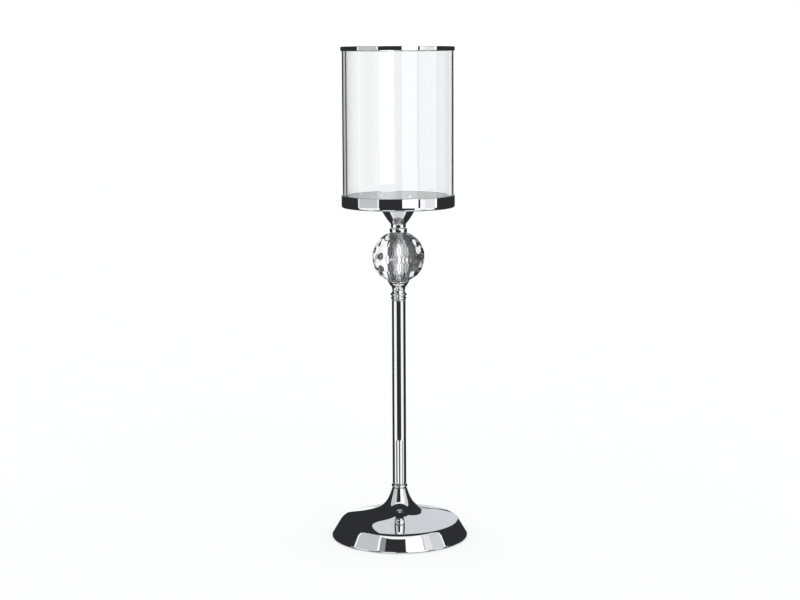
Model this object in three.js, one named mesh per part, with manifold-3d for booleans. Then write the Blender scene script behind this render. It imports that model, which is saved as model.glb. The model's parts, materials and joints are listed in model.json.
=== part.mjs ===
// Pillar candle holder: a weighted round base, a slim tube stem, a faceted crystal ball and a shallow dish
// that holds a glass cylinder. One threaded rod clamps every piece from the base to the dish. The glass
// cylinder, with its rim ring, stands loose in the dish and lifts off.
// Millimetres, +Z up, origin in the middle of the underside.
import * as THREE from 'three';
import { ConvexGeometry } from 'three/addons/geometries/ConvexGeometry.js';
import { ConvexHull } from 'three/addons/math/ConvexHull.js';
import { mergeVertices } from 'three/addons/utils/BufferGeometryUtils.js';
import Module from 'manifold-3d';

const wasm = await Module();
wasm.setup();

// Clearance between faces that meet
const GAP = 0.3;

// Sides of the turned pieces: wide ones, slim ones and hidden small ones
const WIDE_SIDES = 48;
const SLIM_SIDES = 24;
const HIDDEN_SIDES = 20;

// Tie rod and its fasteners, all M6
const ROD_R = 3;
const ROD_HOLE_R = 3.4;
const ROD_BOTTOM_Z = 2.6;
const ROD_CHAMFER = 0.5;
const NUT_ACROSS_FLATS = 10;
const NUT_HEIGHT = 5.2;
const THIN_NUT_HEIGHT = 3.2;
const WASHER_THICKNESS = 1.6;
const WASHER_R = 6;
const WIDE_WASHER_R = 11;
const LOCK_WASHER_R = 5.9;
const LOCK_WASHER_SPLIT = 0.25; // half the opening, in radians

// Base: felt pad, spun shell and ballast
const PAD_R = 58;
const PAD_THICKNESS = 1.6;
const SHELL_WALL = 1.2;
const FOOT_R = 62.5;
const FOOT_Z = 0.4; // the shell's edge stands clear of the table
const FOOT_TRIM = 0.9; // height of the upright strip along the edge
const SKIRT_TOP_R = 55.3;
const SKIRT_TOP_Z = 13.77;
const SHOULDER_R = 53.3;
const SHOULDER_Z = 15.5;
const TRUMPET_R = 33.36; // where the slightly domed top runs into the trumpet neck
const TRUMPET_Z = 20.55;
const NECK_R = 6.7;
const NECK_TOP_Z = 45.2;
const BALLAST_TOP_Z = 15.1;
const BALLAST_BOTTOM_Z = 5;
const BALLAST_R = 56;
const BALLAST_RIM_R = 49.5; // bears on the shoulder from below
const BALLAST_BOSS_R = 12;
const BALLAST_BOSS_Z = 18;
const BALLAST_WELL_R = 14;

// Stem
const BEAD_R = 7.3;
const BEAD_TOP_Z = 49.1;
const STEM_R = 6.3;
const STEM_WALL = 1;
const STEM_TOP_Z = 219.9;
const BUSHING_LENGTH = 10;

// Ferrule, cup and ball
const FERRULE_TOP_Z = 229.2;
const CUP_RIM_Z = 237.9;
const CUP_RIM_R = 9.75;
const CUP_SEAT_Z = 236;
const CUP_SEAT_R = 7.4;
const GASKET_THICKNESS = 1;
const GASKET_HOLE_R = 3.7;
const GASKET_R = 7;
const BALL_Z = 259.8;
const BALL_FACET_DISTANCE = 23.4;
const BALL_FLAT_DISTANCE = 22.2;
const BALL_BORE_R = 6.3;
const SLEEVE_R = BALL_BORE_R - GAP;
const BALL_ROW_PITCH = 18; // degrees of latitude between rows of facets
const BALL_FACETS = 20; // in a row
const BALL_END_LATITUDE = 71; // of the small facets beside each flat
const BALL_END_FACETS = 10;
const COLLAR_R = 7.9;
const COLLAR_TOP_Z = 286.2;
const COLLAR_RECESS_R = 7.3;

// Dish and the funnel that carries it
const FUNNEL_WAIST_R = 6.8;
const FUNNEL_WAIST_Z = 289.2;
const FUNNEL_RIM_R = 17;
const FUNNEL_WALL = 1.4;
const FUNNEL_SEAT_Z = 299.6;
const FUNNEL_SEAT_R = 12;
const DISH_WALL = 0.9;
const DISH_R = 51.2;
const DISH_BOTTOM_Z = 305.2;
const DISH_TOP_Z = 316.2;
const DISH_CORNER_R = 1.2;
const DISH_STEP = 1; // the candle platform stands this far above the glass's channel
const DISH_PLATFORM_R = 44;
const DISH_CHANNEL_R = 45.1;
const DISH_WELL_R = 12.6;
const DISH_WELL_FLOOR_R = 9;
const DISH_WELL_Z = 299.9;

// Glass cylinder and rim ring
const GLASS_R = 50;
const GLASS_WALL = 4;
const RING_WALL = 0.9;
const RING_HEIGHT = 4;
const TOP_Z = 448.8;
const EDGE_ROUNDING = 0.35;

const PLATFORM_Z = DISH_BOTTOM_Z + DISH_STEP;
const WELL_FLOOR_Z = DISH_WELL_Z + DISH_WALL;
const DISH_NUT_Z = WELL_FLOOR_Z + GAP + WASHER_THICKNESS + GAP;
const ROD_TOP_Z = DISH_NUT_Z + THIN_NUT_HEIGHT + 0.2;
const BASE_NUT_Z = ROD_BOTTOM_Z + 0.3;
const LOCK_WASHER_Z = BASE_NUT_Z + NUT_HEIGHT + GAP;
const BASE_WASHER_Z = LOCK_WASHER_Z + WASHER_THICKNESS + GAP;
const BALLAST_SEAT_Z = BASE_WASHER_Z + WASHER_THICKNESS + GAP;
const BALL_BOTTOM_Z = BALL_Z - BALL_FLAT_DISTANCE;
const BALL_TOP_Z = BALL_Z + BALL_FLAT_DISTANCE;

const finish = (color, metalness, roughness) => ({ color, metalness, roughness });
const CHROME = finish(0xd8dbde, 1, 0.05);
const CLEAR_GLASS = finish(0xeef3f4, 0, 0.02);
const CRYSTAL = finish(0xf4f5f8, 0, 0.01);
const ZINC = finish(0xb4b8ba, 1, 0.4);
const CAST_IRON = finish(0x3a3b3d, 0.7, 0.75);
const FELT = finish(0x1c1d20, 0, 0.95);
const SILICONE = finish(0xdfe3e4, 0, 0.5);

const holder = new THREE.Group();

function add(name, geometry, surface) {
  const mesh = new THREE.Mesh(geometry, new THREE.MeshStandardMaterial(surface));
  mesh.name = name;
  holder.add(mesh);
}

// Turns an outline of (radius, height) points about Z. It runs upwards on its outer side.
function turn(outline, sides, closed = true) {
  const points = outline.map((point) => point.clone());
  if (closed) points.push(points[0].clone());
  return new THREE.LatheGeometry(points, sides).rotateX(Math.PI / 2);
}

// A path through plain corners, which curves can be added to.
function pathThrough(...corners) {
  const path = new THREE.Path();
  path.moveTo(...corners[0]);
  corners.slice(1).forEach((corner) => path.lineTo(...corner));
  return path;
}

// A washer, bush or sleeve: plain inside and out.
function sleeve(innerR, outerR, bottomZ, topZ, sides) {
  const path = pathThrough([innerR, bottomZ], [outerR, bottomZ], [outerR, topZ], [innerR, topZ]);
  return turn(path.getPoints(), sides);
}

// Gives a sheet-metal wall to the line of its outer side, which runs with the outside on its right. The
// inner line is parallel to it, with mitred corners.
function sheet(outerLine, wall) {
  const normals = outerLine.slice(1).map((point, i) => {
    const along = point.clone().sub(outerLine[i]).normalize();
    return new THREE.Vector2(along.y, -along.x);
  });
  const innerLine = outerLine.map((point, i) => {
    const before = normals[Math.max(i - 1, 0)];
    const after = normals[Math.min(i, normals.length - 1)];
    const mitre = before.clone().add(after).multiplyScalar(wall / (1 + before.dot(after)));
    return point.clone().sub(mitre);
  });
  return [...outerLine, ...innerLine.reverse()];
}

function toSolid(geometry) {
  const plain = geometry.clone().deleteAttribute('normal');
  plain.deleteAttribute('uv');
  const merged = mergeVertices(plain);
  return new wasm.Manifold(new wasm.Mesh({
    numProp: 3,
    vertProperties: merged.attributes.position.array,
    triVerts: new Uint32Array(merged.index.array),
  }));
}

function toGeometry(solid) {
  const mesh = solid.getMesh();
  const geometry = new THREE.BufferGeometry();
  geometry.setAttribute('position', new THREE.BufferAttribute(mesh.vertProperties, 3));
  geometry.setIndex(new THREE.BufferAttribute(mesh.triVerts, 1));
  geometry.computeVertexNormals();
  return geometry;
}

function hexNut(bottomZ, height) {
  const cornerR = NUT_ACROSS_FLATS / 2 / Math.cos(Math.PI / 6);
  const corners = Array.from({ length: 6 }, (_, i) => {
    const angle = (i * Math.PI) / 3;
    return new THREE.Vector2(cornerR * Math.cos(angle), cornerR * Math.sin(angle));
  });
  const shape = new THREE.Shape(corners);
  shape.holes.push(new THREE.Path().absarc(0, 0, ROD_HOLE_R, 0, 2 * Math.PI, true));
  const settings = { depth: height, bevelEnabled: false, curveSegments: 10 };
  const geometry = new THREE.ExtrudeGeometry(shape, settings);
  return geometry.translate(0, 0, bottomZ);
}

// A spring washer: a ring with a slit.
function splitWasher(bottomZ) {
  const start = LOCK_WASHER_SPLIT;
  const end = 2 * Math.PI - LOCK_WASHER_SPLIT;
  const shape = new THREE.Shape();
  shape.absarc(0, 0, LOCK_WASHER_R, start, end, false);
  shape.absarc(0, 0, ROD_HOLE_R, end, start, true);
  const depth = WASHER_THICKNESS;
  const geometry = new THREE.ExtrudeGeometry(shape, { depth, bevelEnabled: false, curveSegments: 10 });
  return geometry.translate(0, 0, bottomZ);
}

function addBase() {
  const pad = pathThrough([0, 0], [PAD_R, 0], [PAD_R, PAD_THICKNESS], [0, PAD_THICKNESS]);
  add('base_pad', turn(pad.getPoints(), WIDE_SIDES, false), FELT);

  // Skirt, rounded shoulder, slightly domed top, trumpet neck and the land around the rod's hole
  const shell = pathThrough([FOOT_R, FOOT_Z], [FOOT_R, FOOT_Z + FOOT_TRIM], [SKIRT_TOP_R, SKIRT_TOP_Z]);
  shell.quadraticCurveTo(54.51, 15.13, SHOULDER_R, SHOULDER_Z);
  shell.bezierCurveTo(47, 17.4, 40, 18.87, TRUMPET_R, TRUMPET_Z);
  shell.bezierCurveTo(17.39, 24.58, 11.43, 28.93, NECK_R, NECK_TOP_Z);
  shell.lineTo(ROD_HOLE_R, NECK_TOP_Z);
  add('base_shell', turn(sheet(shell.getPoints(7), SHELL_WALL), WIDE_SIDES), CHROME);

  // Ballast: its rim bears on the shoulder from below, and its underside has a well for the nut
  const ballast = pathThrough(
    [ROD_HOLE_R, BALLAST_SEAT_Z],
    [BALLAST_WELL_R, BALLAST_SEAT_Z],
    [BALLAST_WELL_R, BALLAST_BOTTOM_Z],
    [BALLAST_R, BALLAST_BOTTOM_Z],
    [BALLAST_RIM_R, BALLAST_TOP_Z],
    [2 * BALLAST_BOSS_R, BALLAST_TOP_Z],
    [BALLAST_BOSS_R, BALLAST_BOSS_Z],
    [ROD_HOLE_R, BALLAST_BOSS_Z],
  );
  add('base_weight', turn(ballast.getPoints(), WIDE_SIDES), CAST_IRON);
}

function addTieRod() {
  const rod = pathThrough(
    [0, ROD_BOTTOM_Z],
    [ROD_R - ROD_CHAMFER, ROD_BOTTOM_Z],
    [ROD_R, ROD_BOTTOM_Z + ROD_CHAMFER],
    [ROD_R, ROD_TOP_Z - ROD_CHAMFER],
    [ROD_R - ROD_CHAMFER, ROD_TOP_Z],
    [0, ROD_TOP_Z],
  );
  add('tie_rod', turn(rod.getPoints(), HIDDEN_SIDES, false), ZINC);
  add('base_nut', hexNut(BASE_NUT_Z, NUT_HEIGHT), ZINC);
  add('base_lock_washer', splitWasher(LOCK_WASHER_Z), ZINC);
  add('base_washer', washer(WIDE_WASHER_R, BASE_WASHER_Z), ZINC);
  add('dish_washer', washer(WASHER_R, WELL_FLOOR_Z + GAP), ZINC);
  add('dish_nut', hexNut(DISH_NUT_Z, THIN_NUT_HEIGHT), ZINC);
}

function washer(outerR, bottomZ) {
  return sleeve(ROD_HOLE_R, outerR, bottomZ, bottomZ + WASHER_THICKNESS, HIDDEN_SIDES);
}

function addStem() {
  // A half-round bead between the base's neck and the tube
  const bottomZ = NECK_TOP_Z + GAP;
  const beadZ = (bottomZ + BEAD_TOP_Z) / 2;
  const roundR = (BEAD_TOP_Z - bottomZ) / 2 - 0.4;
  const bead = pathThrough([ROD_HOLE_R, bottomZ], [NECK_R - 0.2, bottomZ]);
  bead.absarc(BEAD_R - roundR, beadZ, roundR, -Math.PI / 2, Math.PI / 2, false);
  bead.lineTo(STEM_R + 0.2, BEAD_TOP_Z);
  bead.lineTo(ROD_HOLE_R, BEAD_TOP_Z);
  add('base_neck_bead', turn(bead.getPoints(3), SLIM_SIDES), CHROME);

  const tubeZ = BEAD_TOP_Z + GAP;
  const boreR = STEM_R - STEM_WALL;
  add('stem_tube', sleeve(boreR, STEM_R, tubeZ, STEM_TOP_Z, SLIM_SIDES), CHROME);

  // Plain bushings centre the tube on the rod at both ends
  const bushingR = boreR - GAP;
  const lower = sleeve(ROD_HOLE_R, bushingR, tubeZ, tubeZ + BUSHING_LENGTH, HIDDEN_SIDES);
  add('stem_lower_bushing', lower, ZINC);
  const upper = sleeve(ROD_HOLE_R, bushingR, STEM_TOP_Z - BUSHING_LENGTH, STEM_TOP_Z, HIDDEN_SIDES);
  add('stem_upper_bushing', upper, ZINC);
}

function addFerruleAndCup() {
  // Two beads on a short turned ferrule
  const bottomZ = STEM_TOP_Z + GAP;
  const ferrule = pathThrough([ROD_HOLE_R, bottomZ], [6.4, bottomZ], [6.4, bottomZ + 0.8]);
  ferrule.absarc(5.9, bottomZ + 2.2, 1.15, -Math.PI / 2, Math.PI / 2, false);
  ferrule.absarc(6, bottomZ + 5.5, 1.45, -Math.PI / 2, Math.PI / 2, false);
  ferrule.lineTo(6, FERRULE_TOP_Z);
  ferrule.lineTo(ROD_HOLE_R, FERRULE_TOP_Z);
  add('stem_ferrule', turn(ferrule.getPoints(3), SLIM_SIDES), CHROME);

  // A flared cup with a rounded lip and a flat seat for the gasket
  const cup = pathThrough([ROD_HOLE_R, FERRULE_TOP_Z + GAP], [6, FERRULE_TOP_Z + GAP], [6, 231]);
  const lipR = 0.6;
  const lipZ = CUP_RIM_Z - lipR;
  cup.quadraticCurveTo(6, 232.2, 7.2, 233.4);
  cup.lineTo(9.3, lipZ - 0.8);
  cup.absarc(CUP_RIM_R - lipR, lipZ, lipR, -Math.PI / 6, Math.PI / 2, false);
  cup.lineTo(CUP_SEAT_R, CUP_SEAT_Z);
  cup.lineTo(ROD_HOLE_R, CUP_SEAT_Z);
  add('lower_ball_cup', turn(cup.getPoints(3), SLIM_SIDES), CHROME);
}

// Cuts a gem from its facets' planes. A plane is its normal over its distance from the middle; the hull of
// those points has one face for each corner of the gem.
function cutGem(planes) {
  const hull = new ConvexHull().setFromPoints(planes);
  return new ConvexGeometry(hull.faces.map((face) => face.normal.clone().divideScalar(face.constant)));
}

function facetRow(latitude, count, turned) {
  return Array.from({ length: count }, (_, i) => {
    const longitude = ((i + turned) / count) * 2 * Math.PI;
    const polar = THREE.MathUtils.degToRad(90 - latitude);
    return new THREE.Vector3(
      Math.sin(polar) * Math.cos(longitude),
      Math.sin(polar) * Math.sin(longitude),
      Math.cos(polar),
    ).divideScalar(BALL_FACET_DISTANCE);
  });
}

function addBall() {
  // Seven staggered rows of facets, a row of small ones beside each flat, and the two flats
  const planes = [
    new THREE.Vector3(0, 0, 1 / BALL_FLAT_DISTANCE),
    new THREE.Vector3(0, 0, -1 / BALL_FLAT_DISTANCE),
  ];
  for (let row = -3; row <= 3; row += 1) {
    const stagger = row % 2 === 0 ? 0 : 0.5;
    planes.push(...facetRow(row * BALL_ROW_PITCH, BALL_FACETS, stagger));
  }
  for (const side of [-1, 1]) {
    planes.push(...facetRow(side * BALL_END_LATITUDE, BALL_END_FACETS, 0));
  }
  const gem = toSolid(cutGem(planes));
  const reach = 2 * BALL_FLAT_DISTANCE;
  const drill = new THREE.CylinderGeometry(BALL_BORE_R, BALL_BORE_R, reach + 2, SLIM_SIDES);
  const bore = toSolid(drill.rotateX(Math.PI / 2));
  add('crystal_ball', toGeometry(gem.subtract(bore)).translate(0, 0, BALL_Z), CRYSTAL);

  add('ball_sleeve', sleeve(SLEEVE_R - STEM_WALL, SLEEVE_R, BALL_BOTTOM_Z, BALL_TOP_Z, SLIM_SIDES), CHROME);

  const gasket = (bottomZ) => {
    return sleeve(GASKET_HOLE_R, GASKET_R, bottomZ, bottomZ + GASKET_THICKNESS, HIDDEN_SIDES);
  };
  add('lower_ball_gasket', gasket(CUP_SEAT_Z + GAP), SILICONE);
  add('upper_ball_gasket', gasket(BALL_TOP_Z + GAP), SILICONE);
}

function addCollar() {
  // A ring with a shallow recess underneath for the gasket
  const bottomZ = BALL_TOP_Z + GAP;
  const recessZ = bottomZ + GASKET_THICKNESS + GAP;
  const collar = pathThrough(
    [ROD_HOLE_R, recessZ],
    [COLLAR_RECESS_R, recessZ],
    [COLLAR_RECESS_R, bottomZ],
    [COLLAR_R - EDGE_ROUNDING, bottomZ],
    [COLLAR_R, bottomZ + EDGE_ROUNDING],
    [COLLAR_R, COLLAR_TOP_Z - EDGE_ROUNDING],
    [COLLAR_R - EDGE_ROUNDING, COLLAR_TOP_Z],
    [ROD_HOLE_R, COLLAR_TOP_Z],
  );
  add('ball_collar', turn(collar.getPoints(), SLIM_SIDES), CHROME);
}

function addFunnel() {
  const bottomZ = COLLAR_TOP_Z + GAP;
  const rimZ = PLATFORM_Z - GAP;
  const funnel = pathThrough(
    [ROD_HOLE_R, bottomZ],
    [FUNNEL_WAIST_R - EDGE_ROUNDING, bottomZ],
    [FUNNEL_WAIST_R, bottomZ + EDGE_ROUNDING],
    [FUNNEL_WAIST_R, FUNNEL_WAIST_Z],
    [7, 290],
  );
  funnel.quadraticCurveTo(12.3, 296.2, FUNNEL_RIM_R, rimZ);
  funnel.lineTo(FUNNEL_RIM_R - FUNNEL_WALL, rimZ);
  funnel.lineTo(FUNNEL_SEAT_R, FUNNEL_SEAT_Z);
  funnel.lineTo(ROD_HOLE_R, FUNNEL_SEAT_Z);
  add('dish_funnel', turn(funnel.getPoints(6), SLIM_SIDES), CHROME);
}

function addDish() {
  // Line of the underside, from the rod's hole outwards: the nut's well, the raised candle platform, the
  // channel that centres the glass, a rounded corner and the upright band
  const dish = pathThrough(
    [ROD_HOLE_R, DISH_WELL_Z],
    [DISH_WELL_FLOOR_R, DISH_WELL_Z],
    [DISH_WELL_R, PLATFORM_Z],
    [DISH_PLATFORM_R, PLATFORM_Z],
    [DISH_CHANNEL_R, DISH_BOTTOM_Z],
  );
  dish.absarc(DISH_R - DISH_CORNER_R, DISH_BOTTOM_Z + DISH_CORNER_R, DISH_CORNER_R, -Math.PI / 2, 0, false);
  dish.lineTo(DISH_R, DISH_TOP_Z);
  add('candle_dish', turn(sheet(dish.getPoints(2), DISH_WALL), WIDE_SIDES), CHROME);
}

function addHurricane() {
  const glassBottomZ = DISH_BOTTOM_Z + DISH_WALL + GAP;
  const glassTopZ = TOP_Z - RING_WALL - GAP;
  const innerR = GLASS_R - GLASS_WALL;
  add('glass_cylinder', sleeve(innerR, GLASS_R, glassBottomZ, glassTopZ, WIDE_SIDES), CLEAR_GLASS);

  // Channel-section ring that caps the glass's upper edge
  const bottomZ = TOP_Z - RING_HEIGHT;
  const webZ = TOP_Z - RING_WALL;
  const ringInnerR = innerR - GAP - RING_WALL;
  const ringOuterR = GLASS_R + GAP + RING_WALL;
  const ring = pathThrough(
    [ringOuterR - RING_WALL, bottomZ],
    [ringOuterR, bottomZ],
    [ringOuterR, TOP_Z - EDGE_ROUNDING],
    [ringOuterR - EDGE_ROUNDING, TOP_Z],
    [ringInnerR + EDGE_ROUNDING, TOP_Z],
    [ringInnerR, TOP_Z - EDGE_ROUNDING],
    [ringInnerR, bottomZ],
    [ringInnerR + RING_WALL, bottomZ],
    [ringInnerR + RING_WALL, webZ],
    [ringOuterR - RING_WALL, webZ],
  );
  add('rim_ring', turn(ring.getPoints(), WIDE_SIDES), CHROME);
}

addBase();
addTieRod();
addStem();
addFerruleAndCup();
addBall();
addCollar();
addFunnel();
addDish();
addHurricane();

export default holder;
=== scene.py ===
"""The looks of a chrome pillar candle holder with a crystal ball and a glass cylinder."""

import json
import math

import bmesh
import bpy
from mathutils import Matrix, Vector


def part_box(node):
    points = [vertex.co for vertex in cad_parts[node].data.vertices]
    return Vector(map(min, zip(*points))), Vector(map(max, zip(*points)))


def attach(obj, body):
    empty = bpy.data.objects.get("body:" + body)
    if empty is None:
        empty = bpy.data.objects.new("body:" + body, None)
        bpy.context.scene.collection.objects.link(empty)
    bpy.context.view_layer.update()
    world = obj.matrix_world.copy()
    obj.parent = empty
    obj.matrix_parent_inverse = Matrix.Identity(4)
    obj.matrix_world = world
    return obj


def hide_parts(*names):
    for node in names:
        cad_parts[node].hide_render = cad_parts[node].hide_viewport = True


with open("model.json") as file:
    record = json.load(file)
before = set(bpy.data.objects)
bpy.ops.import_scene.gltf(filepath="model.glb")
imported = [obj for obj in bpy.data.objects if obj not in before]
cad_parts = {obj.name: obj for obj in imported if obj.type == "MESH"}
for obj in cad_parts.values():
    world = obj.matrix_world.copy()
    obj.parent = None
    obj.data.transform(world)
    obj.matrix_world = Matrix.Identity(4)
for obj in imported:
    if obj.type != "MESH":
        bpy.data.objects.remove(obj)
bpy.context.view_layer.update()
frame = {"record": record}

MM = 0.001
GAP = 0.3  # between clamped faces, in mm, as in the CAD
ROD_HOLE_R = 3.4  # of the pieces that the tie rod goes through

# Flat sides once round a turned piece
WIDE_SIDES = 256
SLIM_SIDES = 128
NUT_SIDES = 96
HIDDEN_SIDES = 64
SHEET_EDGE_STEPS = 6

# Camera: on the -Y side of the holder, in metres, degrees and millimetres of lens
CAMERA_DISTANCE = 1.512
CAMERA_HEIGHT = 0.4327
CAMERA_OFFSET = 0.0012
CAMERA_PITCH = 8.0  # down
CAMERA_ROLL = -0.26
CAMERA_LENS = 75.35
SENSOR_WIDTH = 36


# ---------------------------------------------------------------- outlines, as (radius, height) in mm

def arc(center, radius, start, end, steps=8):
    """Points of an arc; angles in degrees, anticlockwise from the outward direction."""
    points = []
    for i in range(steps + 1):
        angle = math.radians(start + (end - start) * i / steps)
        points.append((center[0] + radius * math.cos(angle), center[1] + radius * math.sin(angle)))
    return points


def bezier(points, steps):
    """Points of a Bezier curve of any degree, without its first point."""
    line = []
    for i in range(1, steps + 1):
        level = [Vector(p) for p in points]
        while len(level) > 1:
            level = [a.lerp(b, i / steps) for a, b in zip(level, level[1:])]
        line.append(tuple(level[0]))
    return line


def fillet(before, corner, after, radius, steps):
    """The arc that rounds a corner between its neighbours."""
    back = (Vector(before) - Vector(corner)).normalized()
    ahead = (Vector(after) - Vector(corner)).normalized()
    half = back.angle(ahead) / 2
    center = Vector(corner) + (back + ahead).normalized() * radius / math.sin(half)
    start = Vector(corner) + back * radius / math.tan(half) - center
    end = Vector(corner) + ahead * radius / math.tan(half) - center
    sweep = math.atan2(start.x * end.y - start.y * end.x, start.dot(end))
    points = []
    for i in range(steps + 1):
        points.append(tuple(center + Matrix.Rotation(sweep * i / steps, 2) @ start))
    return points


def rounded(corners, closed=True, steps=5):
    """An outline through (radius, height, rounding) corners. A corner without a rounding stays sharp."""
    line = []
    for i, corner in enumerate(corners):
        at_end = not closed and i in (0, len(corners) - 1)
        if len(corner) == 2 or at_end:
            line.append(tuple(corner[:2]))
            continue
        before, after = corners[i - 1][:2], corners[(i + 1) % len(corners)][:2]
        line += fillet(before, corner[:2], after, corner[2], steps)
    return line


def sheet(line, wall):
    """A closed outline of sheet metal with round edges. Outside is on the right of the line."""
    points = [Vector(p) for p in line]
    normals = []
    for a, b in zip(points, points[1:]):
        along = (b - a).normalized()
        normals.append(Vector((along.y, -along.x)))
    inner = []
    for i, point in enumerate(points):
        before, after = normals[max(i - 1, 0)], normals[min(i, len(normals) - 1)]
        inner.append(point - (before + after) * wall / (1 + before.dot(after)))
    start, end = edge(inner[0], points[0]), edge(points[-1], inner[-1])
    return start + [tuple(p) for p in points[1:-1]] + end + [tuple(p) for p in reversed(inner[1:-1])]


def edge(a, b):
    """A half circle that closes a sheet's edge between its two sides, bulging to the way's right."""
    middle, arm = (a + b) / 2, a - (a + b) / 2
    points = []
    for i in range(SHEET_EDGE_STEPS + 1):
        points.append(tuple(middle + Matrix.Rotation(math.pi * i / SHEET_EDGE_STEPS, 2) @ arm))
    return points


# ---------------------------------------------------------------- meshes

def grid_mesh(name, grid, wrap_rows=False, wrap_columns=True, capped=False):
    """A mesh from rows of points, in mm. Points that coincide, as at a pole, are merged."""
    mesh = bpy.data.meshes.new(name)
    shape = bmesh.new()
    rows = [[shape.verts.new(Vector(p) * MM) for p in row] for row in grid]
    pairs = list(zip(rows, rows[1:]))
    if wrap_rows:
        pairs.append((rows[-1], rows[0]))
    count = len(rows[0])
    for low, high in pairs:
        for j in range(count if wrap_columns else count - 1):
            k = (j + 1) % count
            shape.faces.new((low[j], low[k], high[k], high[j]))
    if capped:
        shape.faces.new(list(reversed(rows[0])))
        shape.faces.new(rows[-1])
    bmesh.ops.remove_doubles(shape, verts=shape.verts, dist=1e-7)
    bmesh.ops.recalc_face_normals(shape, faces=shape.faces)
    for face in shape.faces:
        face.smooth = True
    shape.to_mesh(mesh)
    shape.free()
    piece = bpy.data.objects.new(name, mesh)
    bpy.context.scene.collection.objects.link(piece)
    return piece


def smooth_normals(piece, sharp_degrees=40):
    """Flat faces keep their own shade beside small roundings."""
    piece.data.set_sharp_from_angle(angle=math.radians(sharp_degrees))
    weighted = piece.modifiers.new("weighted_normals", "WEIGHTED_NORMAL")
    weighted.mode = "FACE_AREA"
    weighted.keep_sharp = True
    return piece


def ring_of(radius_at, height, sides):
    angles = [2 * math.pi * i / sides for i in range(sides)]
    return [(radius_at(a) * math.cos(a), radius_at(a) * math.sin(a), height) for a in angles]


def spin(name, outline, sides, closed=True):
    """Turns an outline about the stem's axis."""
    grid = [ring_of(lambda angle, r=r: r, z, sides) for r, z in outline]
    return smooth_normals(grid_mesh(name, grid, wrap_rows=closed))


def span(node):
    """(radius, bottom, top) of a CAD node's box, in mm."""
    low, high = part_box(node)
    return high.x / MM, low.z / MM, high.z / MM


def place(piece, node, material):
    """The piece stands for the CAD node of that name and moves with its body."""
    piece.data.materials.clear()
    piece.data.materials.append(material)
    body = next(b for b, nodes in frame["record"]["behaviour"]["bodies"].items() if node in nodes)
    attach(piece, body)
    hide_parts(node)
    return piece


# ---------------------------------------------------------------- materials

def new_material(name):
    material = bpy.data.materials.new(name)
    material.use_nodes = True
    return material, material.node_tree.nodes["Principled BSDF"]


def node(material, kind, **inputs):
    """A node with some of its inputs set; an input's name has _ for a space."""
    made = material.node_tree.nodes.new(kind)
    for key, value in inputs.items():
        made.inputs[key.replace("_", " ")].default_value = value
    return made


def join(material, output, target):
    material.node_tree.links.new(output, target)


def noise(material, scale, detail=3, stretch=(1, 1, 1)):
    """Noise over the object's own coordinates, in metres."""
    coordinates = node(material, "ShaderNodeTexCoord")
    mapping = node(material, "ShaderNodeMapping", Scale=stretch)
    texture = node(material, "ShaderNodeTexNoise", Scale=scale, Detail=detail)
    join(material, coordinates.outputs["Object"], mapping.inputs["Vector"])
    join(material, mapping.outputs["Vector"], texture.inputs["Vector"])
    return texture.outputs["Fac"]


def roughened(material, shader, value, low, high):
    """Roughness from low to high over the middle of the noise's range."""
    spread = node(material, "ShaderNodeMapRange", From_Min=0.3, From_Max=0.7, To_Min=low, To_Max=high)
    join(material, value, spread.inputs["Value"])
    join(material, spread.outputs["Result"], shader.inputs["Roughness"])


def tinted(material, shader, value, first, second):
    """Base colour between two, by the value."""
    blend = material.node_tree.nodes.new("ShaderNodeMix")
    blend.data_type = "RGBA"
    blend.inputs["A"].default_value = (*first, 1)
    blend.inputs["B"].default_value = (*second, 1)
    join(material, value, blend.inputs["Factor"])
    join(material, blend.outputs["Result"], shader.inputs["Base Color"])


def bumped(material, shader, height, strength, distance):
    bump = node(material, "ShaderNodeBump", Strength=strength, Distance=distance)
    join(material, height, bump.inputs["Height"])
    join(material, bump.outputs["Normal"], shader.inputs["Normal"])


def make_chrome():
    """Mirror-bright plating with a faint haze left by polishing."""
    material, shader = new_material("chrome")
    shader.inputs["Metallic"].default_value = 1
    haze = noise(material, 60, detail=4)
    tinted(material, shader, haze, (0.86, 0.87, 0.885), (0.90, 0.905, 0.91))
    roughened(material, shader, haze, 0.004, 0.014)
    return material


def make_satin_chrome():
    """The dish's unpolished inner side: the same plating over fine turning marks."""
    material, shader = new_material("satin_chrome")
    shader.inputs["Metallic"].default_value = 0.4
    cloud = noise(material, 120, detail=5)
    tinted(material, shader, cloud, (0.86, 0.865, 0.87), (0.97, 0.97, 0.97))
    roughened(material, shader, cloud, 0.15, 0.3)
    bumped(material, shader, noise(material, 1500, detail=3), 0.1, 0.0001)
    return material


def make_clear_glass():
    material, shader = new_material("clear_glass")
    shader.inputs["Transmission Weight"].default_value = 1
    shader.inputs["IOR"].default_value = 1.5
    shader.inputs["Roughness"].default_value = 0
    tint = noise(material, 12, detail=1)
    tinted(material, shader, tint, (0.985, 0.99, 0.99), (0.995, 0.998, 0.998))
    return material


def make_crystal():
    material, shader = new_material("crystal")
    shader.inputs["Transmission Weight"].default_value = 1
    shader.inputs["IOR"].default_value = 1.54
    shader.inputs["Roughness"].default_value = 0
    tint = noise(material, 40, detail=1)
    tinted(material, shader, tint, (0.985, 0.97, 0.99), (0.995, 0.995, 1.0))
    return material


def make_zinc():
    """Bright zinc plating: slightly blue, with soft grey patches."""
    material, shader = new_material("zinc_steel")
    shader.inputs["Metallic"].default_value = 1
    patches = noise(material, 400, detail=5)
    tinted(material, shader, patches, (0.60, 0.61, 0.63), (0.72, 0.72, 0.70))
    roughened(material, shader, patches, 0.28, 0.48)
    bumped(material, shader, noise(material, 2500, detail=2), 0.15, 0.0001)
    return material


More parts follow.
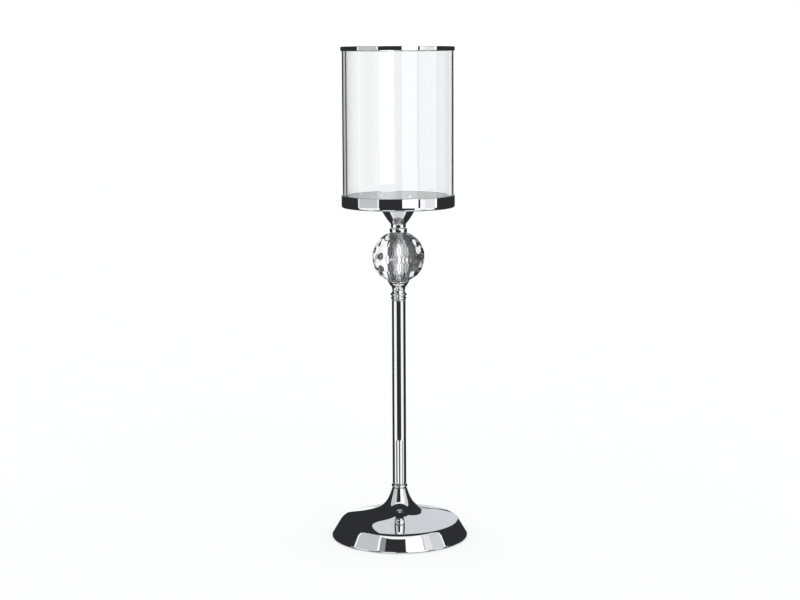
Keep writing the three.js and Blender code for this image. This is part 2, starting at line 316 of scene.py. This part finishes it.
def make_ballast_iron():
    """Sand-cast iron under black varnish."""
    material, shader = new_material("ballast_iron")
    shader.inputs["Metallic"].default_value = 0.4
    grain = noise(material, 700, detail=6)
    tinted(material, shader, grain, (0.02, 0.02, 0.022), (0.07, 0.068, 0.066))
    roughened(material, shader, grain, 0.55, 0.85)
    bumped(material, shader, grain, 0.6, 0.0004)
    return material


def make_felt():
    """Pressed black felt: matted fibres with a soft sheen."""
    material, shader = new_material("felt")
    shader.inputs["Sheen Weight"].default_value = 0.35
    shader.inputs["Sheen Roughness"].default_value = 0.6
    fibres = noise(material, 1800, detail=8, stretch=(1, 2.5, 1))
    tinted(material, shader, fibres, (0.012, 0.012, 0.014), (0.05, 0.05, 0.056))
    roughened(material, shader, fibres, 0.85, 1.0)
    bumped(material, shader, fibres, 0.9, 0.0005)
    return material


def make_silicone():
    material, shader = new_material("silicone")
    shader.inputs["Transmission Weight"].default_value = 0.5
    shader.inputs["IOR"].default_value = 1.42
    cloud = noise(material, 300, detail=2)
    tinted(material, shader, cloud, (0.78, 0.80, 0.81), (0.86, 0.88, 0.88))
    roughened(material, shader, cloud, 0.35, 0.5)
    return material


CHROME = make_chrome()
SATIN_CHROME = make_satin_chrome()
CLEAR_GLASS = make_clear_glass()
CRYSTAL = make_crystal()
ZINC = make_zinc()
BALLAST_IRON = make_ballast_iron()
FELT = make_felt()
SILICONE = make_silicone()


# ---------------------------------------------------------------- base

SHELL_WALL = 1.2
SKIRT_BEND = (56.7, 11.46)
SKIRT_TOP = (55.25, 13.73)
SHOULDER = (53.3, 15.5)
TRUMPET_START = (33.36, 20.55)
NECK_R = 6.7


def make_base_shell():
    foot_r, foot_z, neck_z = span("base_shell")
    line = rounded([
        (foot_r, foot_z + SHELL_WALL / 2),
        (foot_r, foot_z + 1.3, 1),
        SKIRT_BEND,
    ], closed=False)
    line += bezier([SKIRT_BEND, (56, 12.61), SKIRT_TOP], 6)
    line += bezier([SKIRT_TOP, (54.25, 15.21), SHOULDER], 12)
    line += bezier([SHOULDER, (47, 17.4), (40, 18.87), TRUMPET_START], 24)
    trumpet_end = (NECK_R + 0.1, neck_z - 0.35)
    line += bezier([TRUMPET_START, (17.39, 24.58), (11.43, 28.93), trumpet_end], 48)
    line += arc((NECK_R - 0.3, neck_z - 0.4), 0.4, 10, 90, 4)
    line.append((ROD_HOLE_R + SHELL_WALL / 2, neck_z))
    place(spin("base_shell_skin", sheet(line, SHELL_WALL), WIDE_SIDES), "base_shell", CHROME)


def make_base_pad():
    pad_r, bottom, top = span("base_pad")
    rounding = 0.4
    outline = rounded([
        (0, bottom),
        (pad_r, bottom, rounding),
        (pad_r, top, rounding),
        (0, top),
    ], closed=False)
    pad = place(spin("felt_disc", outline, WIDE_SIDES, closed=False), "base_pad", FELT)


def make_base_weight():
    outer_r, bottom, top = span("base_weight")
    recess_r, seat_z = 14, 13.2
    rim_r, shoulder_r, rim_z = 49.5, 24, 15.1
    hub_r = 12
    outline = rounded([
        (ROD_HOLE_R, seat_z, 0.4),
        (recess_r, seat_z, 0.6),
        (recess_r, bottom, 1),
        (outer_r, bottom, 1),
        (rim_r, rim_z, 1),
        (shoulder_r, rim_z, 3),
        (hub_r, top, 1.2),
        (ROD_HOLE_R, top, 0.4),
    ])
    place(spin("ballast", outline, WIDE_SIDES), "base_weight", BALLAST_IRON)


# ---------------------------------------------------------------- tie rod and fasteners

THREAD_PITCH = 1.0
THREAD_DEPTH = 0.55
FOOT_THREAD = 22
HEAD_THREAD = 12
ROWS_PER_TURN = 8
ROD_CHAMFER = 0.6
ROD_CHAMFER_SLOPE = 0.6


def make_tie_rod():
    """A plain rod with a thread at each end, which runs out towards the middle."""
    rod_r, bottom, top = span("tie_rod")
    row_height = THREAD_PITCH / ROWS_PER_TURN
    foot_rows = int(FOOT_THREAD / row_height)
    head_rows = int(HEAD_THREAD / row_height)
    heights = [bottom + i * row_height for i in range(foot_rows + 1)]
    heights += [top - i * row_height for i in range(head_rows, -1, -1)]
    foot_end, head_start = heights[foot_rows], heights[foot_rows + 1]

    def radius_at(angle, z):
        if foot_end <= z <= head_start:
            return rod_r
        turn = (z / THREAD_PITCH - angle / (2 * math.pi)) % 1
        run_out = min(1, abs(foot_end - z) / THREAD_PITCH, abs(z - head_start) / THREAD_PITCH)
        chamfer = max(0, ROD_CHAMFER - min(z - bottom, top - z))
        return rod_r - THREAD_DEPTH * run_out * abs(2 * turn - 1) - chamfer * ROD_CHAMFER_SLOPE

    rows = [ring_of(lambda angle: 0, bottom, HIDDEN_SIDES)]
    rows += [ring_of(lambda angle, z=z: radius_at(angle, z), z, HIDDEN_SIDES) for z in heights]
    rows.append(ring_of(lambda angle: 0, top, HIDDEN_SIDES))
    rod = smooth_normals(grid_mesh("threaded_rod", rows), 50)
    place(rod, "tie_rod", ZINC)


def make_nut(name, cad_node):
    """A hexagon nut with its corners turned off by a 30 degree cone on both faces."""
    _, bottom, top = span(cad_node)
    half_flats = 5
    cone = math.tan(math.radians(30))
    chamfer_r = half_flats * 0.98
    hole_chamfer = 0.25

    def radius_at(angle, z):
        off_flat = angle % (math.pi / 3) - math.pi / 6
        hexagon = half_flats / math.cos(off_flat)
        return min(hexagon, chamfer_r + min(z - bottom, top - z) / cone)

    # Rows lie closest together at the faces, where the cone cuts the corners
    fine = [0.02 * i * i for i in range(6)]
    heights = [bottom + step for step in fine] + [top - step for step in reversed(fine)]
    hole = [
        (ROD_HOLE_R + hole_chamfer, top),
        (ROD_HOLE_R, top - hole_chamfer),
        (ROD_HOLE_R, bottom + hole_chamfer),
        (ROD_HOLE_R + hole_chamfer, bottom),
    ]
    rows = [ring_of(lambda angle, z=z: radius_at(angle, z), z, NUT_SIDES) for z in heights]
    rows += [ring_of(lambda angle, r=r: r, z, NUT_SIDES) for r, z in hole]
    nut = smooth_normals(grid_mesh(name, rows, wrap_rows=True), 25)
    place(nut, cad_node, ZINC)


def make_washer(name, cad_node):
    outer_r, bottom, top = span(cad_node)
    outline = rounded([
        (ROD_HOLE_R, bottom, 0.15),
        (outer_r, bottom, 0.3),
        (outer_r, top, 0.3),
        (ROD_HOLE_R, top, 0.15),
    ])
    place(spin(name, outline, SLIM_SIDES), cad_node, ZINC)


def make_lock_washer():
    """A spring washer whose two ends stand a little apart in height."""
    _, bottom, top = span("base_lock_washer")
    outer_r = 5.9
    lift = 0.2
    half_split = 0.25  # radians
    rounding = 0.15
    steps = 72
    section = rounded([
        (ROD_HOLE_R, bottom, rounding),
        (outer_r, bottom, rounding),
        (outer_r, top - lift, rounding),
        (ROD_HOLE_R, top - lift, rounding),
    ], steps=3)
    rows = []
    for i in range(steps + 1):
        angle = half_split + (2 * math.pi - 2 * half_split) * i / steps
        rise = lift * i / steps
        rows.append([(r * math.cos(angle), r * math.sin(angle), z + rise) for r, z in section])
    washer = smooth_normals(grid_mesh("spring_washer", rows, capped=True))
    place(washer, "base_lock_washer", ZINC)


# ---------------------------------------------------------------- stem

STEM_WALL = 1


def make_tube(name, cad_node, inner_r, material, rounding=0.2, sides=SLIM_SIDES):
    outer_r, bottom, top = span(cad_node)
    outline = rounded([
        (inner_r, bottom, rounding),
        (outer_r, bottom, rounding),
        (outer_r, top, rounding),
        (inner_r, top, rounding),
    ])
    place(spin(name, outline, sides), cad_node, material)


def make_neck_bead():
    bead_r, bottom, top = span("base_neck_bead")
    middle = (bottom + top) / 2
    round_r = (top - bottom) / 2 - 0.35
    foot_r, waist_r, top_r = 6.5, 6.4, 6.45
    outline = rounded([
        (ROD_HOLE_R, top, 0.3),
        (ROD_HOLE_R, bottom, 0.3),
        (foot_r, bottom, 0.15),
        (waist_r, middle - round_r),
    ], closed=False)
    outline += arc((bead_r - round_r, middle), round_r, -90, 90, 16)
    outline += [(foot_r, top - 0.3), (top_r, top)]
    place(spin("neck_bead", outline, SLIM_SIDES), "base_neck_bead", CHROME)


def make_stem():
    make_neck_bead()
    stem_r = span("stem_tube")[0]
    make_tube("stem", "stem_tube", stem_r - STEM_WALL, CHROME)
    make_tube("lower_bushing", "stem_lower_bushing", ROD_HOLE_R, ZINC, 0.4, HIDDEN_SIDES)
    make_tube("upper_bushing", "stem_upper_bushing", ROD_HOLE_R, ZINC, 0.4, HIDDEN_SIDES)


# ---------------------------------------------------------------- ferrule, cup, ball and collar

def make_ferrule():
    _, bottom, top = span("stem_ferrule")
    foot_r = 6.4
    seat_r = 5
    lower_r, lower_z, lower_bead = 5.9, bottom + 2.2, 1.15
    upper_r, upper_z, upper_bead = 6, bottom + 5.5, 1.45
    outline = rounded([
        (ROD_HOLE_R, top),
        (ROD_HOLE_R, bottom, 0.2),
        (foot_r, bottom, 0.2),
        (foot_r, bottom + 0.9, 0.2),
        (lower_r, lower_z - lower_bead),
    ], closed=False)
    outline += arc((lower_r, lower_z), lower_bead, -90, 90, 14)
    outline += arc((upper_r, upper_z), upper_bead, -90, 80, 16)
    outline += rounded([
        (upper_r + 0.25, upper_z + upper_bead),
        (upper_r, bottom + 7.3, 0.5),
        (upper_r, top, 0.3),
        (seat_r, top),
    ], closed=False)
    place(spin("ferrule", outline, SLIM_SIDES), "stem_ferrule", CHROME)


def make_ball_cup():
    rim_r, bottom, top = span("lower_ball_cup")
    lip = 0.6
    seat_r, seat_z = 7.4, 236.0
    foot_r = 6
    neck = (foot_r, bottom + 1.5)
    flare = (7.2, bottom + 3.9)
    outline = rounded([
        (ROD_HOLE_R, seat_z),
        (ROD_HOLE_R, bottom),
        (foot_r, bottom, 0.3),
        neck,
    ], closed=False)
    outline += bezier([neck, (foot_r, bottom + 2.7), flare], 8)
    outline += bezier([flare, (8.4, bottom + 5.1), (8.7, top - lip - 1.2)], 8)
    outline += arc((rim_r - lip, top - lip), lip, -40, 90, 10)
    outline.append((seat_r, seat_z))
    place(spin("ball_cup", outline, SLIM_SIDES), "lower_ball_cup", CHROME)


def make_collar():
    outer_r, bottom, top = span("ball_collar")
    recess_r, recess_z = 7.3, bottom + 1.3
    outline = rounded([
        (ROD_HOLE_R, recess_z),
        (recess_r, recess_z),
        (recess_r, bottom, 0.1),
        (outer_r, bottom, 0.45),
        (outer_r, top, 0.6),
        (ROD_HOLE_R, top, 0.2),
    ])
    place(spin("collar", outline, SLIM_SIDES), "ball_collar", CHROME)


FACET_DISTANCE = 23.4
FACET_ROW_PITCH = 18  # degrees
FACETS_IN_ROW = 20
ROWS_EACH_SIDE = 3  # of the row round the middle
END_FACETS = 10
END_LATITUDE = 71  # degrees
EDGE_BEVEL = 0.06
BORE_R = 6.3
GASKET_HOLE_R = 3.7


def facet_points(flat_distance):
    """Each facet's plane as its normal over its distance from the ball's middle."""
    planes = [Vector((0, 0, side / flat_distance)) for side in (-1, 1)]
    rows = []
    for row in range(-ROWS_EACH_SIDE, ROWS_EACH_SIDE + 1):
        rows.append((row * FACET_ROW_PITCH, FACETS_IN_ROW, 0.5 * (row % 2)))
    rows += [(side * END_LATITUDE, END_FACETS, 0) for side in (-1, 1)]
    for latitude, count, stagger in rows:
        for i in range(count):
            around, up = 2 * math.pi * (i + stagger) / count, math.radians(latitude)
            level = math.cos(up)
            normal = Vector((level * math.cos(around), level * math.sin(around), math.sin(up)))
            planes.append(normal / FACET_DISTANCE)
    return planes


def hull_of(points):
    shape = bmesh.new()
    for point in points:
        shape.verts.new(point)
    bmesh.ops.convex_hull(shape, input=shape.verts)
    bmesh.ops.recalc_face_normals(shape, faces=shape.faces)
    return shape


def make_crystal_ball():
    """Cut by its facets' planes: the hull of facet_points has one face for each corner of the gem."""
    _, bottom, top = span("crystal_ball")
    middle = (bottom + top) / 2
    dual = hull_of(facet_points((top - bottom) / 2))
    corners = [face.normal / face.normal.dot(face.verts[0].co) for face in dual.faces]
    dual.free()
    gem = hull_of(corners)
    bmesh.ops.remove_doubles(gem, verts=gem.verts, dist=0.01)
    bmesh.ops.dissolve_limit(gem, angle_limit=math.radians(1), verts=gem.verts, edges=gem.edges)
    bmesh.ops.bevel(gem, geom=gem.edges, offset=EDGE_BEVEL, segments=1, affect="EDGES")
    for vertex in gem.verts:
        vertex.co = (vertex.co + Vector((0, 0, middle))) * MM
    mesh = bpy.data.meshes.new("cut_ball")
    gem.to_mesh(mesh)
    gem.free()
    ball = bpy.data.objects.new("cut_ball", mesh)
    bpy.context.scene.collection.objects.link(ball)

    reach = 5
    drill_line = [(0, bottom - reach), (BORE_R, bottom - reach), (BORE_R, top + reach), (0, top + reach)]
    drill = grid_mesh("drill", [ring_of(lambda angle, r=r: r, z, SLIM_SIDES) for r, z in drill_line])
    cut = ball.modifiers.new("bore", "BOOLEAN")
    cut.operation = "DIFFERENCE"
    cut.solver = "EXACT"
    cut.object = drill
    settled = bpy.data.meshes.new_from_object(ball.evaluated_get(bpy.context.evaluated_depsgraph_get()))
    ball.modifiers.clear()
    ball.data = settled
    bpy.data.objects.remove(drill)
    for face in settled.polygons:
        on_axis = math.hypot(face.center.x, face.center.y) < BORE_R * MM * 1.01
        face.use_smooth = on_axis and abs(face.normal.z) < 0.5
    place(ball, "crystal_ball", CRYSTAL)


def make_ball():
    make_crystal_ball()
    sleeve_r = span("ball_sleeve")[0]
    make_tube("core_sleeve", "ball_sleeve", sleeve_r - STEM_WALL, CHROME)
    make_tube("lower_gasket", "lower_ball_gasket", GASKET_HOLE_R, SILICONE, 0.3)
    make_tube("upper_gasket", "upper_ball_gasket", GASKET_HOLE_R, SILICONE, 0.3)


# ---------------------------------------------------------------- funnel, dish and hurricane glass

def make_funnel():
    rim_r, bottom, top = span("dish_funnel")
    seat_r, seat_z = 12, 299.6
    wall = 1.4
    rim_chamfer = 0.3
    waist = (6.8, 289.2)
    flare = (7.3, 290.4)
    outline = rounded([
        (ROD_HOLE_R, seat_z),
        (ROD_HOLE_R, bottom),
        (waist[0], bottom, 0.4),
        waist,
    ], closed=False)
    outline += bezier([waist, (6.85, 290), flare], 6)
    outline += bezier([flare, (12.3, 296.2), (rim_r, top - rim_chamfer)], 24)
    outline += [(rim_r - rim_chamfer, top), (rim_r - wall, top), (seat_r, seat_z)]
    place(spin("funnel", outline, SLIM_SIDES), "dish_funnel", CHROME)


def make_dish():
    dish_r, well_z, top = span("candle_dish")
    wall = 0.9
    channel_z, platform_z = 305.2, 306.2
    edge_z = top - wall / 2
    line = rounded([
        (ROD_HOLE_R + wall / 2, well_z),
        (9, well_z, 1),
        (12.6, platform_z, 1),
        (44, platform_z, 0.6),
        (45.1, channel_z, 0.6),
        (dish_r, channel_z, 1.4),
        (dish_r, edge_z),
    ], closed=False, steps=8)
    dish = place(spin("dish", sheet(line, wall), WIDE_SIDES), "candle_dish", CHROME)
    dish.data.materials.append(SATIN_CHROME)
    for face in dish.data.polygons:
        outward = face.normal.x * face.center.x + face.normal.y * face.center.y
        inner_side = face.normal.z > 0.5 or outward < 0
        face.material_index = int(inner_side and face.center.z < edge_z * MM)


GLASS_WALL = 4


def make_glass_tube():
    glass_r, bottom, top = span("glass_cylinder")
    polish = 0.9
    outline = rounded([
        (glass_r - GLASS_WALL, bottom, polish),
        (glass_r, bottom, polish),
        (glass_r, top, polish),
        (glass_r - GLASS_WALL, top, polish),
    ], steps=8)
    place(spin("glass_tube", outline, WIDE_SIDES), "glass_cylinder", CLEAR_GLASS)


def make_rim_ring():
    """A sheet metal cap that hangs over both sides of the tube's upper edge."""
    ring_r, bottom, top = span("rim_ring")
    wall = 0.9
    rounding = 0.5
    inner_r = span("glass_cylinder")[0] - GLASS_WALL - GAP - wall
    edge_z = bottom + wall / 2
    line = rounded([
        (ring_r, edge_z),
        (ring_r, top, rounding),
        (inner_r, top, rounding),
        (inner_r, edge_z),
    ], closed=False, steps=8)
    place(spin("top_ring", sheet(line, wall), WIDE_SIDES), "rim_ring", CHROME)


# ---------------------------------------------------------------- studio

# Tones, as linear colours
DARK = (0.03, 0.03, 0.032)
DUSK = (0.09, 0.09, 0.095)
DIM = (0.30, 0.31, 0.32)
SILVER = (0.59, 0.605, 0.62)
COOL = (0.68, 0.70, 0.725)
LIGHT = (0.86, 0.87, 0.885)
WHITE = (1.05, 1.05, 1.05)
CLEAR = (1.0, 1.0, 1.0)
CLEAR_SKY = (0.965, 0.98, 0.995)
BACKDROP = (1.12, 1.12, 1.12)
LAMP = (1.5, 1.5, 1.5)
GLARE = (3.2, 3.2, 3.2)
BRIGHTEST = max(GLARE)

# The studio's panels by bearing in degrees: 0 is the camera's side, plus is the right. Each strip is
# (from, tone) and runs to the next one's start.
PANELS = {
    # What the chrome mirrors, from the lowest up
    "table": [
        (-180, COOL), (-170, DARK), (-84, LIGHT), (-60, COOL), (60, LIGHT), (80, DARK),
        (166, COOL),
    ],
    "low": [
        (-180, COOL), (-170, DARK), (-84, WHITE), (-56, DARK), (-34, WHITE), (-8, DARK),
        (14, WHITE), (50, DARK), (62, WHITE), (80, DARK), (166, COOL),
    ],
    "stem": [
        (-180, COOL), (-170, DARK), (-86, WHITE), (-38, DARK), (33, WHITE), (78, DARK),
        (166, COOL),
    ],
    "band": [
        (-180, WHITE), (-175.5, DARK), (-89, WHITE), (-86, SILVER), (-43, WHITE), (-40, DARK),
        (8, LAMP), (40.5, DARK), (45, WHITE), (56, LIGHT), (79, LAMP), (83, DARK),
        (175.5, COOL),
    ],
    "backdrop": [
        (-180, WHITE), (-174.5, DARK), (-91, WHITE), (-88, SILVER), (-45, WHITE), (-42, DIM),
        (-30, DARK), (12, LAMP), (47, SILVER), (50, LIGHT), (64, COOL), (86, WHITE), (89, DARK),
        (163, COOL),
    ],
    "skirt": [
        (-180, COOL), (-170.5, DARK), (-91, WHITE), (-88, SILVER), (-45, WHITE), (-42, DIM),
        (-30, DARK), (12, LAMP), (47, SILVER), (50, LIGHT), (64, COOL), (86, WHITE), (89, DARK),
        (158.5, COOL),
    ],
    "header": [
        (-180, COOL), (-170.5, DARK), (-88, SILVER), (-50, WHITE), (50, LIGHT), (88, DARK),
        (158.5, COOL),
    ],
    "ceiling": [(-180, COOL), (-170.5, DARK), (158.5, COOL)],
    # What shows through both walls of the tube
    "behind": [(-180, CLEAR), (110, CLEAR_SKY)],
    # What shows through the ball
    "ball": [
        (-180, WHITE), (-166, DUSK), (-146, DARK), (-142, WHITE), (-138, DUSK), (-109, WHITE),
        (-70, DARK), (-30, WHITE), (60, DARK), (70, WHITE), (104, DARK), (110, WHITE),
        (141, DARK), (147, WHITE),
    ],
    "under_ball": [
        (-180, WHITE), (-166, DUSK), (-146, DARK), (-142, WHITE), (-128, DUSK), (-109, WHITE),
        (60, DARK), (70, WHITE), (104, DARK), (110, WHITE), (141, DARK), (147, WHITE),
    ],
    "upper_ball": [
        (-180, WHITE), (-170, DIM), (-160, DUSK), (-136, COOL), (-132, DUSK), (-96, WHITE),
        (-80, DARK), (-30, WHITE), (80, DARK), (88, WHITE), (118, DARK), (124, WHITE),
        (138, DARK), (146, WHITE),
    ],
    "lower_ball": [
        (-180, LIGHT), (-168, DUSK), (-150, WHITE), (-144, DUSK), (-84, WHITE), (-20, DARK),
        (-5, WHITE), (78, DARK), (97, WHITE), (126, DARK), (134, WHITE), (152, DARK),
        (157, WHITE),
    ],
    # What shows after a reflection behind glass or crystal
    "wall": [
        (-180, DARK), (-163, COOL), (-149, DARK), (-140, SILVER), (-75, LIGHT), (-55, SILVER),
        (-38, DIM), (8, LAMP), (41, SILVER), (60, DIM), (80, SILVER), (100, WHITE), (160, DARK),
    ],
    "core": [
        (-180, DUSK), (-120, DARK), (-100, DIM), (-76, DARK), (-60, LIGHT), (-48, DARK),
        (-36, WHITE), (-16, DARK), (-8, LAMP), (26, DARK), (33, WHITE), (56, DARK), (66, COOL),
        (90, DARK), (104, SILVER), (140, DUSK),
    ],
    "room": [
        (-180, SILVER), (-100, LIGHT), (-65, SILVER), (-52, DARK), (-44, SILVER), (8, GLARE),
        (41, SILVER), (58, DARK), (84, SILVER), (98, LIGHT), (132, SILVER),
    ],
}
# The panels in layers, each as (the height in degrees where it starts, the panels' name)
MIRRORED = [
    (-90, "table"), (-48, "low"), (-12.8, "stem"), (-5, "band"), (1.5, "backdrop"), (20, "skirt"),
    (46.5, "header"), (52, "ceiling"),
]
SEEN_THROUGH_BALL = [
    (-90, "lower_ball"), (-28, "under_ball"), (-11, "ball"), (6, "upper_ball"), (28, "lower_ball"),
]
SEEN_INSIDE = [(-90, "core"), (-5.5, "wall"), (8, "core")]
SEEN_IN_CORE = [(-90, "core"), (-5.2, "room"), (1, "core")]

# A dark opening overhead, a little to the back, in degrees
OPENING_HEIGHT = 76.5
OPENING_SPREAD = 19.5


def link(tree, value, socket):
    """Joins an output to the socket, or sets the socket to the value."""
    if isinstance(value, bpy.types.NodeSocket):
        tree.links.new(value, socket)
    else:
        socket.default_value = value


def math_node(tree, operation, *values):
    made = tree.nodes.new("ShaderNodeMath")
    made.operation = operation
    for socket, value in zip(made.inputs, values):
        link(tree, value, socket)
    return made.outputs["Value"]


def mix(tree, factor, first, second):
    made = tree.nodes.new("ShaderNodeMix")
    made.data_type = "RGBA"
    for name, value in (("Factor", factor), ("A", first), ("B", second)):
        link(tree, value, made.inputs[name])
    return made.outputs["Result"]


def scaled(tone):
    """A tone as a colour of the World, whose strength is BRIGHTEST."""
    return (*(channel / BRIGHTEST for channel in tone), 1)


def striped(tree, bearing, strips):
    """Steps from tone to tone where the bearing, from 0 to 1 once round, passes each strip's start."""
    ramp = tree.nodes.new("ShaderNodeValToRGB")
    ramp.color_ramp.interpolation = "CONSTANT"
    stops = ramp.color_ramp.elements
    stops.remove(stops[1])
    for i, (start, tone) in enumerate(strips):
        stop = stops[0] if i == 0 else stops.new((start + 180) / 360)
        stop.color = scaled(tone)
    link(tree, bearing, ramp.inputs["Fac"])
    return ramp.outputs["Color"]


def layered(tree, up, layers, panels):
    """Changes from panels to panels where the direction's height passes each layer's start."""
    color = panels[layers[0][1]]
    for height, name in layers[1:]:
        above = math_node(tree, "GREATER_THAN", up, math.sin(math.radians(height)))
        color = mix(tree, above, color, panels[name])
    return color


def overhead_opening(tree, direction):
    """Whether the direction points into the opening."""
    height = math.radians(OPENING_HEIGHT)
    product = tree.nodes.new("ShaderNodeVectorMath")
    product.operation = "DOT_PRODUCT"
    product.inputs[1].default_value = (0, math.cos(height), math.sin(height))
    link(tree, direction, product.inputs[0])
    rim = math.cos(math.radians(OPENING_SPREAD))
    return math_node(tree, "GREATER_THAN", product.outputs["Value"], rim)


def make_world():
    """A room of panels for mirrored and refracted light. The camera and matt surfaces get plain white."""
    world = bpy.data.worlds.new("studio")
    bpy.context.scene.world = world
    world.use_nodes = True
    tree = world.node_tree
    direction = tree.nodes.new("ShaderNodeTexCoord").outputs["Generated"]
    parts = tree.nodes.new("ShaderNodeSeparateXYZ")
    link(tree, direction, parts.inputs["Vector"])
    east, north, up = parts.outputs
    turn = math_node(tree, "ARCTAN2", east, math_node(tree, "MULTIPLY", north, -1.0))
    bearing = math_node(tree, "MULTIPLY_ADD", turn, 1 / (2 * math.pi), 0.5)
    panels = {name: striped(tree, bearing, strips) for name, strips in PANELS.items()}
    path = tree.nodes.new("ShaderNodeLightPath").outputs

    def more_than(count, depth):
        """Whether the light has met more than this many surfaces in this way."""
        return math_node(tree, "GREATER_THAN", path[depth], count + 0.5)

    def stacked(layers):
        return layered(tree, up, layers, panels)

    mirrored = mix(tree, overhead_opening(tree, direction), stacked(MIRRORED), scaled(DARK))

    past_one_wall = more_than(2, "Transmission Depth")
    past_bore = more_than(3, "Transmission Depth")
    past_tube = more_than(5, "Transmission Depth")
    through = mix(tree, past_one_wall, stacked(SEEN_THROUGH_BALL), panels["behind"])
    inside = mix(tree, past_bore, stacked(SEEN_INSIDE), stacked(SEEN_IN_CORE))
    inside = mix(tree, past_tube, inside, panels["room"])
    refracted = mix(tree, more_than(0, "Glossy Depth"), through, inside)
    color = mix(tree, path["Is Transmission Ray"], mirrored, refracted)

    plain = math_node(tree, "MAXIMUM", path["Is Camera Ray"], more_than(0, "Diffuse Depth"))
    soft_light = mix(tree, past_tube, scaled(BACKDROP), scaled(GLARE))
    background = tree.nodes["Background"]
    link(tree, mix(tree, plain, color, soft_light), background.inputs["Color"])
    background.inputs["Strength"].default_value = BRIGHTEST


def make_floor():
    """A plain pale floor, left out of the chrome, which mirrors the panels alone."""
    reach = 30  # metres to each side
    mesh = bpy.data.meshes.new("floor")
    corners = [(-reach, -reach, 0), (reach, -reach, 0), (reach, reach, 0), (-reach, reach, 0)]
    mesh.from_pydata(corners, [], [(0, 1, 2, 3)])
    floor = bpy.data.objects.new("floor", mesh)
    bpy.context.scene.collection.objects.link(floor)
    material, shader = new_material("pale_floor")
    shader.inputs["Base Color"].default_value = (0.92, 0.92, 0.92, 1)
    shader.inputs["Roughness"].default_value = 1
    shader.inputs["Specular IOR Level"].default_value = 0
    mesh.materials.append(material)
    floor.visible_glossy = False
    floor.visible_transmission = False


def make_camera():
    data = bpy.data.cameras.new("camera")
    data.lens = CAMERA_LENS
    data.sensor_width = SENSOR_WIDTH
    camera = bpy.data.objects.new("camera", data)
    bpy.context.scene.collection.objects.link(camera)
    tilt = Matrix.Rotation(math.radians(90 - CAMERA_PITCH), 4, "X")
    roll = Matrix.Rotation(math.radians(CAMERA_ROLL), 4, "Z")
    position = Matrix.Translation((CAMERA_OFFSET, -CAMERA_DISTANCE, CAMERA_HEIGHT))
    camera.matrix_world = position @ tilt @ roll
    bpy.context.scene.camera = camera


make_camera()
make_world()
make_floor()
bpy.context.scene.view_settings.view_transform = "Standard"

make_base_pad()
make_base_weight()
make_base_shell()
make_tie_rod()
make_nut("lower_nut", "base_nut")
make_nut("upper_nut", "dish_nut")
make_washer("wide_washer", "base_washer")
make_washer("small_washer", "dish_washer")
make_lock_washer()
make_stem()
make_ferrule()
make_ball_cup()
make_ball()
make_collar()
make_funnel()
make_dish()
make_glass_tube()
make_rim_ring()
